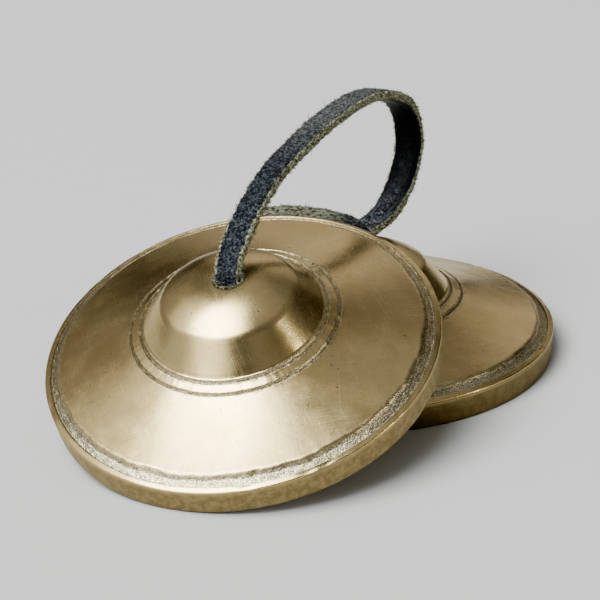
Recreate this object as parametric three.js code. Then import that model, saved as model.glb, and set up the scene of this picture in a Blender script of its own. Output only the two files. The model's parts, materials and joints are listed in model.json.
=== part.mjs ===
// A pair of finger cymbals (tingsha): two cast bells joined by one leather lace.
// Millimetres, +Z up. The rear cymbal lies flat; the front one leans on its boss.
import * as THREE from 'three';

// ---- driving dimensions -------------------------------------------------
const RIM_RADIUS = 32.5;          // a 65 mm cymbal
const FOOT_RADIUS = 32.1;         // the side wall draws in towards the foot
const LIP_HEIGHT = 4.4;           // where the side wall turns over
const FLAT_INNER_RADIUS = 26.6;   // inner edge of the flat foot ring
const BOSS_TOP = 20;              // height of the boss above the foot
const HOLE_RADIUS = 2.5;
const HOLE_BEVEL = 0.25;
const HOLE_SHIFT_REACH = 9;       // how far from the axis an off-centre hole bends the boss
const OUTER_RING_RADIUS = 17.0;   // the two engraved rings round the boss
const INNER_RING_RADIUS = 15.2;
const RING_DEPTH = 0.3;
const RING_HALF_WIDTH = 0.3;
const LATHE_SEGMENTS = 48;
const CURVE_STEPS = 5;            // points along each curved stretch of a section

const FRONT_TILT = THREE.MathUtils.degToRad(19.65);     // how far the front cymbal leans
const FRONT_HEADING = THREE.MathUtils.degToRad(243.3);  // the way its boss leans, from +X
const FRONT_CENTRE = { x: -20.71, y: -27.35 };          // centre of its foot
const FRONT_HOLE_SHIFT = { x: -0.3, y: 0.6 };           // its hole is punched off the middle
const NO_SHIFT = { x: 0, y: 0 };

const LACE_WIDTH = 4.2;
const LACE_THICKNESS = 1.8;
const LACE_CORNER = 0.4;          // bevel along the lace's four edges
const LACE_STEP = 3;              // length of lace between two sections
const LACE_GAP = 0.3;             // clearance where two stretches of lace meet
const FOLD_AT = 8;                // the route point where the standing arch folds

const NECK_RADIUS = 2.1;          // the lace squeezed round inside the hole
const NECK_TOP = BOSS_TOP - 1;
const KNOT_TOP = 16.9;
const KNOT_RADIUS = 5;
const KNOT_BOTTOM = 11;
const KNOT_SEGMENTS = 20;

// The lace from the front hole, up and over the arch, down behind the rear boss,
// round a low loop and into the rear hole: x, y, z from the rear cymbal's foot
// centre, then the way the lace's width runs, in degrees from +X.
const LACE_ROUTE = [
  [-22.95, -33.15, 29.15, -28],
  [-22.95, -33.2, 30.7, -28],
  [-22.4, -32.2, 32.8, -28],
  [-21.2, -30.0, 35.3, -28],
  [-18.9, -26.2, 38.2, -28],
  [-15.2, -19.6, 41.0, -28],
  [-10.1, -11.6, 43.0, -28],
  [-4.3, -2.2, 44.1, -28],
  [1.1, 6.6, 43.9, -27],
  [5.7, 14.4, 41.5, -26],
  [9.1, 20.8, 37.6, -24],
  [10.7, 24.6, 32.6, -20],
  [10.7, 24.6, 27.0, -20],
  [8.8, 21.9, 21.8, -28],
  [5.2, 18.9, 17.4, -50],
  [-0.2, 17.3, 14.9, -66],
  [-6.8, 15.9, 14.0, -76],
  [-14.0, 13.4, 13.8, -82],
  [-19.4, 10.2, 15.2, -88],
  [-21.6, 8.0, 18.8, -90],
  [-19.6, 6.8, 22.3, -90],
  [-15.4, 6.1, 23.8, -90],
  [-10.4, 5.5, 24.0, -90],
  [-6.0, 4.6, 23.4, -90],
  [-2.9, 3.0, 22.9, -90],
  [-1.1, 1.2, 22.2, -90],
  [-0.25, 0.2, 20.9, -90],
  [0.0, 0.0, 19.4, -90],
];

// ---- materials ----------------------------------------------------------
const bronze = new THREE.MeshStandardMaterial({ color: 0xb59a6a, roughness: 0.35, metalness: 1 });
const leather = new THREE.MeshStandardMaterial({ color: 0x2b2e35, roughness: 0.85, metalness: 0 });

// ---- the cymbal ---------------------------------------------------------

// A shallow V cut into the section at the given radius and height
function engraveRing(path, radius, height) {
  path.lineTo(radius + RING_HALF_WIDTH, height - RING_HALF_WIDTH / 2);
  path.lineTo(radius, height - RING_DEPTH);
  path.lineTo(radius - RING_HALF_WIDTH, height + RING_HALF_WIDTH / 2);
}

// Half section of one cymbal: foot ring, side wall, rolled lip, groove, flange,
// engraved rings, boss and hole, then back down the hollow underside
function cymbalSection() {
  const path = new THREE.Path();
  path.moveTo(FLAT_INNER_RADIUS, 0);
  path.lineTo(FOOT_RADIUS, 0);
  path.lineTo(RIM_RADIUS, LIP_HEIGHT);
  path.quadraticCurveTo(RIM_RADIUS, 5.1, 31.9, 5.15);
  path.lineTo(31.4, 4.7);
  path.lineTo(30.5, 5.1);
  path.lineTo(30.2, 6.05);
  path.quadraticCurveTo(22.3, 8.4, OUTER_RING_RADIUS + 0.6, 10.7);
  engraveRing(path, OUTER_RING_RADIUS, 11);
  path.lineTo(INNER_RING_RADIUS + 0.6, 11.6);
  engraveRing(path, INNER_RING_RADIUS, 11.9);
  path.quadraticCurveTo(13.6, 12.5, 12.3, 15.1);
  path.bezierCurveTo(11, 17.8, 7.2, BOSS_TOP - 0.4, HOLE_RADIUS + HOLE_BEVEL, BOSS_TOP);
  path.lineTo(HOLE_RADIUS, BOSS_TOP - HOLE_BEVEL);
  path.lineTo(HOLE_RADIUS, 17.5);
  path.bezierCurveTo(6.8, 17.4, 9.6, 15.8, 10.4, 13.2);
  path.quadraticCurveTo(11.4, 10.3, 15.4, 8.9);
  path.quadraticCurveTo(21.4, 6.4, 24.4, 4.7);
  path.quadraticCurveTo(26.3, 3.6, FLAT_INNER_RADIUS, 0);
  return path.getPoints(CURVE_STEPS);
}

// A lathe turned about Z instead of Y
function latheAboutZ(points, segments) {
  const geometry = new THREE.LatheGeometry(points, segments);
  geometry.rotateX(Math.PI / 2);
  return geometry;
}

// Moves the hole off the axis, and the boss round it less and less with distance
function shiftHole(geometry, shift) {
  const position = geometry.attributes.position;
  for (let i = 0; i < position.count; i++) {
    const radius = Math.hypot(position.getX(i), position.getY(i));
    const share = 1 - THREE.MathUtils.smoothstep(radius, HOLE_RADIUS + HOLE_BEVEL, HOLE_SHIFT_REACH);
    position.setX(i, position.getX(i) + share * shift.x);
    position.setY(i, position.getY(i) + share * shift.y);
  }
}

function makeCymbal(name, holeShift) {
  const geometry = latheAboutZ(cymbalSection(), LATHE_SEGMENTS);
  shiftHole(geometry, holeShift);
  const mesh = new THREE.Mesh(geometry, bronze);
  mesh.name = name;
  return mesh;
}

// ---- the knot in each boss ----------------------------------------------

// The knot that holds the lace in the cup under the boss, and the neck of lace
// that passes up through the hole
function makeKnot(name, holeShift) {
  const middle = (KNOT_TOP + KNOT_BOTTOM) / 2;
  const path = new THREE.Path();
  path.moveTo(0, KNOT_BOTTOM);
  path.quadraticCurveTo(KNOT_RADIUS, KNOT_BOTTOM, KNOT_RADIUS, middle);
  path.quadraticCurveTo(KNOT_RADIUS, KNOT_TOP - 0.4, NECK_RADIUS, KNOT_TOP);
  path.lineTo(NECK_RADIUS, NECK_TOP);
  path.lineTo(0, NECK_TOP);
  const mesh = new THREE.Mesh(latheAboutZ(path.getPoints(CURVE_STEPS), KNOT_SEGMENTS), leather);
  mesh.name = name;
  mesh.position.set(holeShift.x, holeShift.y, 0);
  return mesh;
}

// ---- the lace -----------------------------------------------------------

const laceCurve = new THREE.CatmullRomCurve3(
  LACE_ROUTE.map(([x, y, z]) => new THREE.Vector3(x, y, z)), false, 'centripetal');
laceCurve.arcLengthDivisions = 2000;
const laceLength = laceCurve.getLength();

// Heading of the lace's width at parameter t of the whole lace, in radians
function widthHeading(t) {
  const place = t * (LACE_ROUTE.length - 1);
  const index = Math.min(Math.floor(place), LACE_ROUTE.length - 2);
  const [before, after] = [LACE_ROUTE[index][3], LACE_ROUTE[index + 1][3]];
  return THREE.MathUtils.degToRad(THREE.MathUtils.lerp(before, after, place - index));
}

// Length of lace up to a route point
function lengthTo(index) {
  return laceCurve.getLengths()[Math.round(index / (LACE_ROUTE.length - 1) * laceCurve.arcLengthDivisions)];
}

// One stretch of the lace, between two lengths along it. Its sections stay flat
// side out: x of a section is the lace's thickness and y its width.
class LaceStretch extends THREE.Curve {
  constructor(from, to) {
    super();
    this.from = from;
    this.to = to;
  }

  along(t) {
    return (this.from + (this.to - this.from) * t) / laceLength;
  }

  getPoint(t) {
    return laceCurve.getPointAt(this.along(t));
  }

  computeFrenetFrames(segments) {
    const frames = { tangents: [], normals: [], binormals: [] };
    for (let i = 0; i <= segments; i++) {
      const u = this.along(i / segments);
      const tangent = laceCurve.getTangentAt(u);
      const heading = widthHeading(laceCurve.getUtoTmapping(u));
      const across = new THREE.Vector3(Math.cos(heading), Math.sin(heading), 0);
      across.addScaledVector(tangent, -across.dot(tangent)).normalize();
      frames.tangents.push(tangent);
      frames.normals.push(new THREE.Vector3().crossVectors(across, tangent));
      frames.binormals.push(across);
    }
    return frames;
  }
}

// Eight-sided flat section: a rectangle with bevelled corners
function laceSection() {
  const [halfThick, halfWide] = [LACE_THICKNESS / 2, LACE_WIDTH / 2];
  const shape = new THREE.Shape();
  shape.moveTo(-halfThick, -halfWide + LACE_CORNER);
  shape.lineTo(-halfThick + LACE_CORNER, -halfWide);
  shape.lineTo(halfThick - LACE_CORNER, -halfWide);
  shape.lineTo(halfThick, -halfWide + LACE_CORNER);
  shape.lineTo(halfThick, halfWide - LACE_CORNER);
  shape.lineTo(halfThick - LACE_CORNER, halfWide);
  shape.lineTo(-halfThick + LACE_CORNER, halfWide);
  shape.lineTo(-halfThick, halfWide - LACE_CORNER);
  shape.closePath();
  return shape;
}

function makeLace(name, from, to) {
  const geometry = new THREE.ExtrudeGeometry(laceSection(), {
    steps: Math.round((to - from) / LACE_STEP),
    extrudePath: new LaceStretch(from, to),
  });
  const mesh = new THREE.Mesh(geometry, leather);
  mesh.name = name;
  return mesh;
}

// ---- assembly -----------------------------------------------------------

const pair = new THREE.Group();

const rear = new THREE.Group();
rear.add(makeCymbal('rear_cymbal', NO_SHIFT), makeKnot('rear_knot', NO_SHIFT));

// The front cymbal stands on the lowest point of its foot and leans on the rear boss
const front = new THREE.Group();
front.rotation.set(0, FRONT_TILT, FRONT_HEADING, 'ZYX');
front.position.set(FRONT_CENTRE.x, FRONT_CENTRE.y, FOOT_RADIUS * Math.sin(FRONT_TILT));
front.add(makeCymbal('front_cymbal', FRONT_HOLE_SHIFT), makeKnot('front_knot', FRONT_HOLE_SHIFT));

const fold = lengthTo(FOLD_AT);
const frontLace = makeLace('front_lace', 0, fold - LACE_GAP / 2);
const rearLace = makeLace('rear_lace', fold + LACE_GAP / 2, laceLength);

pair.add(rear, front, frontLace, rearLace);

// The origin is on the surface that the pair stands on, midway between the
// outermost points of the two cymbals
pair.updateMatrixWorld(true);
const cymbalsBox = new THREE.Box3().setFromObject(rear, true).union(new THREE.Box3().setFromObject(front, true));
const middle = cymbalsBox.getCenter(new THREE.Vector3());
pair.position.set(-middle.x, -middle.y, -cymbalsBox.min.z);

const tingsha = new THREE.Group();
tingsha.add(pair);

export default tingsha;
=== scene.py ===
import json
import math

import bpy
import numpy as np
from mathutils import Matrix, Vector


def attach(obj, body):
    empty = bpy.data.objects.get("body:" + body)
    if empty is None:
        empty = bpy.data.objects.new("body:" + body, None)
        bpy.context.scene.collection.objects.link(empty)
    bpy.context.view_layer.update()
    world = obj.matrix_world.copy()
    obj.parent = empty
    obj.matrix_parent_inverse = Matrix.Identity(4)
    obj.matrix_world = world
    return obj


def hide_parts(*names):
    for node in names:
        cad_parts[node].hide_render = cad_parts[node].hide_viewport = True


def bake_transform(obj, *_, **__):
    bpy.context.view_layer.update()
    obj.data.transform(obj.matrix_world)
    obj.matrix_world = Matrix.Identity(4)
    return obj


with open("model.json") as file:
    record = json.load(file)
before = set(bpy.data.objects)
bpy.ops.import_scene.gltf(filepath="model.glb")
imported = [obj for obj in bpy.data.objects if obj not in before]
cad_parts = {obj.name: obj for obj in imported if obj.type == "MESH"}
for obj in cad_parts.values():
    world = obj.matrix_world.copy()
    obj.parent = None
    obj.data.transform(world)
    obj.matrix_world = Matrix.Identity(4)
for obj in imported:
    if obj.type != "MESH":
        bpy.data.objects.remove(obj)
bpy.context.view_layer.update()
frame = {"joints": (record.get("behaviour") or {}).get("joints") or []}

# A pair of finger cymbals (tingsha): two cast bronze bells on one leather lace.
# Metres, +Z up. Sections and routes are written in millimetres.

MM = 0.001
SEED = 7

# ---- where the two cymbals are ----------------------------------------------

BOSS_TOP = 20.0 * MM
FRONT_HOLE_SHIFT = (-0.3 * MM, 0.6 * MM)   # the front hole is punched off the middle
NO_SHIFT = (0.0, 0.0)
NO_LEAN = 1e-6                             # an axis that leans less than this stands upright


def joint(name):
    return next(j for j in frame["joints"] if j["name"] == name)


def own_axes(origin, axis):
    """Placement of a cymbal: its own X runs down the way it leans, its own Z along its axis."""
    if axis.xy.length < NO_LEAN:
        return Matrix.Translation(origin)
    lean = axis.xy.normalized()
    x = Vector((lean.x * axis.z, lean.y * axis.z, -axis.xy.length))
    y = axis.cross(x)
    turn = Matrix((x, y, axis)).transposed()
    return Matrix.Translation(origin) @ turn.to_4x4()


def cymbal_place(swivel, shift):
    """Placement of a cymbal whose hole's top is at a swivel joint, moved off its axis by shift."""
    axis = Vector(joint(swivel)["axis"]).normalized()
    turn = own_axes(Vector(), axis)
    hole = Vector((shift[0], shift[1], BOSS_TOP))
    return own_axes(Vector(joint(swivel)["pos_m"]) - turn @ hole, axis)


REAR = cymbal_place("rear_swivel", NO_SHIFT)
FRONT = cymbal_place("front_swivel", FRONT_HOLE_SHIFT)
REAR_FOOT = np.array(REAR.translation)

# ---- camera -----------------------------------------------------------------

# Fitted to the rims, the grooves and the engraved rings. Angles are in radians,
# the lens and the sensor in millimetres
CAMERA_FROM_REAR = (-31.19, -502.95, 229.85)   # millimetres from the rear cymbal's foot centre
CAMERA_PITCH = 0.41081
CAMERA_YAW = 0.04104
CAMERA_ROLL = -0.04518
CAMERA_LENS = 193.64
CAMERA_SENSOR = 36.0
CAMERA_NEAR = 0.01
CAMERA_FAR = 20.0


def make_camera():
    data = bpy.data.cameras.new("camera")
    data.lens = CAMERA_LENS
    data.sensor_width = CAMERA_SENSOR
    data.clip_start = CAMERA_NEAR
    data.clip_end = CAMERA_FAR
    camera = bpy.data.objects.new("camera", data)
    bpy.context.scene.collection.objects.link(camera)
    forward = Vector((math.sin(CAMERA_YAW) * math.cos(CAMERA_PITCH),
                      math.cos(CAMERA_YAW) * math.cos(CAMERA_PITCH),
                      -math.sin(CAMERA_PITCH)))
    level = Vector((math.cos(CAMERA_YAW), -math.sin(CAMERA_YAW), 0.0))
    upward = level.cross(forward)
    right = math.cos(CAMERA_ROLL) * level + math.sin(CAMERA_ROLL) * upward
    up = math.cos(CAMERA_ROLL) * upward - math.sin(CAMERA_ROLL) * level
    place = Vector(REAR_FOOT) + Vector(CAMERA_FROM_REAR) * MM
    turn = Matrix((right, up, -forward)).transposed()
    camera.matrix_world = Matrix.Translation(place) @ turn.to_4x4()
    bpy.context.scene.camera = camera


# ---- small tools for arrays and meshes --------------------------------------

# Numbers that turn a cell and a seed into a random value
HASH_SEED = (7919, 17)
HASH_KEY = 73856093
HASH_AXIS = (19349663, 83492791)
HASH_LAST = (1103515245, 12345)
HASH_SHIFT = 13
HASH_TOP = 0x7FFFFFFF


def unit(v):
    return v / np.linalg.norm(v, axis=-1, keepdims=True)


def smooth_step(low, high, value):
    t = np.clip((value - low) / (high - low), 0.0, 1.0)
    return t * t * (3 - 2 * t)


def value_noise(points, seed):
    """Smooth noise from -1 to 1 at each row of points, with features about one unit across."""
    cell = np.floor(points).astype(np.int64)
    part = points - cell
    part = part * part * (3 - 2 * part)
    total = np.zeros(len(points))
    width = points.shape[1]
    for corner in range(2 ** width):
        key = np.full(len(points), seed * HASH_SEED[0] + HASH_SEED[1], np.int64)
        weight = np.ones(len(points))
        for k in range(width):
            bit = (corner >> k) & 1
            step = (cell[:, k] + bit) * (HASH_AXIS[0] + HASH_AXIS[1] * k)
            key = ((key * HASH_KEY) ^ step) & HASH_TOP
            key = key ^ (key >> HASH_SHIFT)
            weight = weight * (part[:, k] if bit else 1 - part[:, k])
        key = (key * HASH_LAST[0] + HASH_LAST[1]) & HASH_TOP
        total += weight * (key / (HASH_TOP // 2) - 1)
    return total


def noise_like(shape, *columns, seed):
    """value_noise of some coordinate arrays that broadcast to one shape."""
    stack = np.stack([np.broadcast_to(c, shape).ravel() for c in columns], axis=1)
    return value_noise(stack, seed).reshape(shape)


def add_mesh(name, vertices, faces):
    mesh = bpy.data.meshes.new(name)
    mesh.from_pydata(np.asarray(vertices).tolist(), [], faces)
    mesh.update()
    mesh.polygons.foreach_set("use_smooth", [True] * len(mesh.polygons))
    piece = bpy.data.objects.new(name, mesh)
    bpy.context.scene.collection.objects.link(piece)
    return piece


def grid_faces(rings, count, closed=False):
    """Quads that join rings of count points; closed joins the last ring to the first."""
    i = np.arange(rings if closed else rings - 1)[:, None]
    j = np.arange(count)[None, :]
    here, there = i * count, ((i + 1) % rings) * count
    after = (j + 1) % count
    quads = np.stack([here + j, here + after, there + after, there + j], axis=-1)
    return quads.reshape(-1, 4).tolist()


def point_values(piece, name, values):
    """Store one number or one vector for each vertex, for the materials to read."""
    values = np.asarray(values, np.float32)
    vector = values.ndim == 2
    layer = piece.data.attributes.new(name, "FLOAT_VECTOR" if vector else "FLOAT", "POINT")
    layer.data.foreach_set("vector" if vector else "value", values.ravel())


# ---- the lace's route -------------------------------------------------------

LACE_WIDTH = 4.2 * MM
LACE_THICKNESS = 1.8 * MM
SPAN_POINTS = 60         # points on the curve for each span of the route
STRIP_STEP = 0.25 * MM

# The lace from the front hole, up and over the arch, down behind the rear boss,
# round a low loop and into the rear hole: x, y, z in millimetres from the rear
# cymbal's foot centre, then the way the lace's width runs, in degrees from +X.
# Near the rear hole the width turns, so that the lace doesn't crease there
LACE_ROUTE = [
    (-22.95, -33.15, 29.15, -28),
    (-22.95, -33.2, 30.7, -28),
    (-22.4, -32.2, 32.8, -28),
    (-21.2, -30.0, 35.3, -28),
    (-18.9, -26.2, 38.2, -28),
    (-15.2, -19.6, 41.0, -28),
    (-10.1, -11.6, 43.0, -28),
    (-4.3, -2.2, 44.1, -28),
    (1.1, 6.6, 43.9, -27),
    (5.7, 14.4, 41.5, -26),
    (9.1, 20.8, 37.6, -24),
    (10.7, 24.6, 32.6, -20),
    (10.7, 24.6, 27.0, -20),
    (8.8, 21.9, 21.8, -28),
    (5.2, 18.9, 17.4, -50),
    (-0.2, 17.3, 14.9, -66),
    (-6.8, 15.9, 14.0, -76),
    (-14.0, 13.4, 13.8, -82),
    (-19.4, 10.2, 15.2, -88),
    (-21.6, 8.0, 18.8, -90),
    (-19.6, 6.8, 22.3, -90),
    (-15.4, 6.1, 23.8, -94),
    (-10.4, 5.5, 24.0, -99),
    (-6.0, 4.6, 23.4, -109),
    (-2.9, 3.0, 22.9, -124),
    (-1.1, 1.2, 22.2, -135),
    (-0.25, 0.2, 20.9, -139),
    (0.0, 0.0, 19.4, -140),
]


def centripetal(points, per_span):
    """Centripetal Catmull-Rom curve through rows of points that start with x, y and z."""
    out = []
    for i in range(len(points) - 1):
        p1, p2 = points[i], points[i + 1]
        p0 = points[i - 1] if i else 2 * p1 - p2
        p3 = points[i + 2] if i + 2 < len(points) else 2 * p2 - p1
        steps = ((p0, p1), (p1, p2), (p2, p3))
        d0, d1, d2 = (np.linalg.norm((b - a)[:3]) ** 0.5 for a, b in steps)
        t1 = ((p1 - p0) / d0 - (p2 - p0) / (d0 + d1) + (p2 - p1) / d1) * d1
        t2 = ((p2 - p1) / d1 - (p3 - p1) / (d1 + d2) + (p3 - p2) / d2) * d1
        w = (np.arange(per_span) / per_span)[:, None]
        out.append(p1 + t1 * w + (3 * (p2 - p1) - 2 * t1 - t2) * w ** 2
                   + (2 * (p1 - p2) + t1 + t2) * w ** 3)
    return np.concatenate(out + [points[-1:]])


class Strip:
    """Evenly spaced stations along a leather strip: the way along it, across it and out of its
    suede side."""

    def __init__(self, centre, across, step):
        run = np.concatenate([[0.0], np.cumsum(np.linalg.norm(np.diff(centre, axis=0), axis=1))])
        self.length = run[-1]
        self.s = np.linspace(0.0, self.length, round(self.length / step) + 1)
        self.centre = np.stack([np.interp(self.s, run, c) for c in centre.T], axis=1)
        self.along = unit(np.gradient(self.centre, axis=0))
        wide = np.stack([np.interp(self.s, run, c) for c in across.T], axis=1)
        wide -= np.sum(wide * self.along, axis=1, keepdims=True) * self.along
        self.across = unit(wide)
        self.out = np.cross(self.across, self.along)

    def index(self, length):
        return int(round(length / self.length * (len(self.s) - 1)))

    def at(self, length):
        return Vector(self.centre[self.index(length)])


def make_route():
    curve = centripetal(np.array(LACE_ROUTE, float), SPAN_POINTS)
    heading = np.radians(curve[:, 3])
    across = np.stack([np.cos(heading), np.sin(heading), 0 * heading], axis=1)
    return Strip(curve[:, :3] * MM + REAR_FOOT, across, STRIP_STEP)


LACE = make_route()


# ---- the body of a leather strip --------------------------------------------

SECTION_POINTS = 56
SECTION_POWER = 0.36     # how square the strip's section is: 1 is round, 0 is square

# The strip's unevenness, in millimetres: the sizes of three noises, and how far
# each pushes the cut edges and roughens the suede side
SLOW_SIZE, RAGGED_SIZE, FINE_SIZE = 5.0, 0.9, 0.42
EDGE_SLOW, EDGE_RAGGED, EDGE_FINE = 0.13, 0.14, 0.12
SUEDE_RAGGED, SUEDE_FINE = 0.06, 0.08
EDGE_POWER = 5           # how closely the unevenness keeps to the edges
SIDES_APART = 3.0        # keeps the noise of the two edges different
CURL_LEVEL = 0.35        # how far the strip's middle sinks, as a share of the curl


def strip_section():
    """Outline of the strip: out of the suede side and across, as shares of half sizes, and the
    share of the way round, which is 0.5 in the middle of the suede side."""
    share = np.arange(SECTION_POINTS) / SECTION_POINTS
    turn = share * 2 * math.pi
    out = -np.sign(np.cos(turn)) * np.abs(np.cos(turn)) ** SECTION_POWER
    across = -np.sign(np.sin(turn)) * np.abs(np.sin(turn)) ** SECTION_POWER
    return out, across, share


def strip_surface(strip, wide, thick, cup, seed):
    """Places on a strip's skin, one row for each station. wide and thick are the sizes at each
    station, and cup is how far both edges curl towards the suede side."""
    out, across, _ = strip_section()
    shape = (len(strip.s), SECTION_POINTS)
    s = strip.s[:, None] / MM
    o = out[None, :] * (thick / 2)[:, None]
    a = across[None, :] * (wide / 2)[:, None]
    edge = np.abs(across[None, :]) ** EDGE_POWER
    suede = np.clip(out[None, :] * 2, 0, 1)
    side = np.sign(across)[None, :]
    apart = side * SIDES_APART
    slow = noise_like(shape, s / SLOW_SIZE, apart, seed=seed)
    ragged = noise_like(shape, s / RAGGED_SIZE, o / MM / RAGGED_SIZE, apart, seed=seed + 1)
    fine = noise_like(shape, s / FINE_SIZE, a / MM / FINE_SIZE, o / MM / FINE_SIZE, seed=seed + 2)
    a = a + side * edge * (EDGE_SLOW * slow + EDGE_RAGGED * ragged + EDGE_FINE * fine) * MM
    o = o + suede * (SUEDE_RAGGED * ragged + SUEDE_FINE * fine) * MM * np.abs(out)[None, :]
    o = o + cup[:, None] * (across[None, :] ** 2 - CURL_LEVEL)
    return (strip.centre[:, None, :] + o[..., None] * strip.out[:, None, :]
            + a[..., None] * strip.across[:, None, :])


def strip_mesh(name, strip, skin, start, end, fuzz):
    """One stretch of a strip as a closed piece, with its fibres and its texture's coordinates."""
    first, last = strip.index(start), strip.index(end)
    rings = skin[first:last + 1]
    body = rings.reshape(-1, 3)
    faces = grid_faces(len(rings), SECTION_POINTS)
    caps = len(faces)
    faces.append(list(range(SECTION_POINTS))[::-1])
    faces.append([len(body) - SECTION_POINTS + k for k in range(SECTION_POINTS)])
    here = (fuzz["s"] >= strip.s[first]) & (fuzz["s"] < strip.s[last])
    for k in range(np.count_nonzero(here)):
        root = len(body) + k * FIBRE_POINTS
        faces.extend([[root + v for v in face] for face in FIBRE_FACES])
    lengthwise = np.concatenate([np.repeat(strip.s[first:last + 1] / MM, SECTION_POINTS),
                                 np.repeat(fuzz["s"][here] / MM, FIBRE_POINTS)])
    share = np.concatenate([np.tile(strip_section()[2], len(rings)),
                            np.repeat(fuzz["share"][here], FIBRE_POINTS)])
    turn = share * 2 * math.pi
    piece = add_mesh(name, np.concatenate([body, fuzz["points"][here].reshape(-1, 3)]), faces)
    point_values(piece, "suede", -np.cos(turn))
    point_values(piece, "lengthwise", lengthwise)
    point_values(piece, "crosswise", -np.sin(turn) * LACE_WIDTH / MM / 2)
    smooth = np.ones(len(faces), bool)
    smooth[caps:caps + 2] = False
    piece.data.polygons.foreach_set("use_smooth", smooth.tolist())
    return piece


# ---- loose fibres along the cut edges ---------------------------------------

FIBRE_SIDES = 3
FIBRE_RINGS = 3
FIBRE_POINTS = FIBRE_SIDES * FIBRE_RINGS + 1
FIBRES_PER_MM = 85
FIBRE_REACH = 0.27 * MM
FIBRE_RADIUS = 0.068 * MM
FIBRE_TAPER = 0.6              # share of its radius that a fibre loses
FIBRE_ROOT = 0.05 * MM         # how deep it starts under the skin
FIBRE_BEND = 0.45              # how far it bends, as a share of its length
FIBRE_STRAY = 0.75             # how far it strays from straight out
FIBRE_SHORTEST = 0.35          # the least length, as a share of the reach
FIBRE_SPREAD = (2.2, 0.42)     # shape and scale of the rest of the length
CUT_EDGES = (0.25, 0.75)       # where the two cut edges are, as shares of the way round
CUT_EDGE_SPREAD = 0.045
SUEDE_SIDE = (0.30, 0.70)      # where the suede side begins and ends
ON_SUEDE_SHARE = 0.35          # share of the fibres that stand on the suede side
ON_SUEDE_LENGTH = 0.7          # and how long they are against those on the edges
BARE_STATIONS = 2              # stations at each end without fibres


def fibre_faces():
    """A thin three-sided spike: a base, two bands and a tip."""
    faces = [list(range(FIBRE_SIDES))[::-1]]
    for ring in range(FIBRE_RINGS - 1):
        for k in range(FIBRE_SIDES):
            j = (k + 1) % FIBRE_SIDES
            low = ring * FIBRE_SIDES
            faces.append([low + k, low + j, low + FIBRE_SIDES + j, low + FIBRE_SIDES + k])
    tip = FIBRE_SIDES * FIBRE_RINGS
    low = tip - FIBRE_SIDES
    faces.extend([[low + k, low + (k + 1) % FIBRE_SIDES, tip] for k in range(FIBRE_SIDES)])
    return faces


FIBRE_FACES = fibre_faces()


def grow_fibres(strip, skin, per_mm, rng):
    """Short bent spikes that stand out of the strip's skin, most of them along the cut edges."""
    count = int(strip.length / MM * per_mm)
    row = rng.integers(BARE_STATIONS, len(strip.s) - BARE_STATIONS - 1, count)
    share = np.where(rng.random(count) < 0.5, *CUT_EDGES) + rng.normal(0.0, CUT_EDGE_SPREAD, count)
    on_suede = rng.random(count) < ON_SUEDE_SHARE
    share = np.where(on_suede, rng.uniform(*SUEDE_SIDE, count), share)
    column = np.round(share * SECTION_POINTS).astype(int) % SECTION_POINTS
    root = skin[row, column]
    way = unit(unit(root - strip.centre[row]) + FIBRE_STRAY * rng.normal(size=(count, 3)))
    long = FIBRE_REACH * (FIBRE_SHORTEST + rng.gamma(*FIBRE_SPREAD, count))
    long = long * np.where(on_suede, ON_SUEDE_LENGTH, 1.0)
    return {"s": strip.s[row], "share": share, "points": spikes(root, way, long, rng)}


def spikes(root, way, long, rng):
    """Bent spikes of given lengths that start just under their roots."""
    count = len(root)
    sideways = unit(np.cross(way, rng.normal(size=(count, 3))))
    other = np.cross(way, sideways)
    bend = unit(rng.normal(size=(count, 3))) * (long * FIBRE_BEND)[:, None]
    points = np.zeros((count, FIBRE_POINTS, 3))
    for ring in range(FIBRE_RINGS):
        t = ring / FIBRE_RINGS
        middle = root + way * (long * t - FIBRE_ROOT)[:, None] + bend * t ** 2
        radius = FIBRE_RADIUS * (1 - FIBRE_TAPER * t)
        for k in range(FIBRE_SIDES):
            turn = 2 * math.pi * k / FIBRE_SIDES
            rim = math.cos(turn) * sideways + math.sin(turn) * other
            points[:, ring * FIBRE_SIDES + k] = middle + radius * rim
    points[:, -1] = root + way * (long - FIBRE_ROOT)[:, None] + bend
    return points


# ---- the bronze cymbals -----------------------------------------------------

HOLE_RADIUS = 2.5
HOLE_BEVEL = 0.25
HOLE_SHIFT_REACH = 9.0        # how far from the axis an off-centre hole bends the boss
CYMBAL_SEGMENTS = 420

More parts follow.
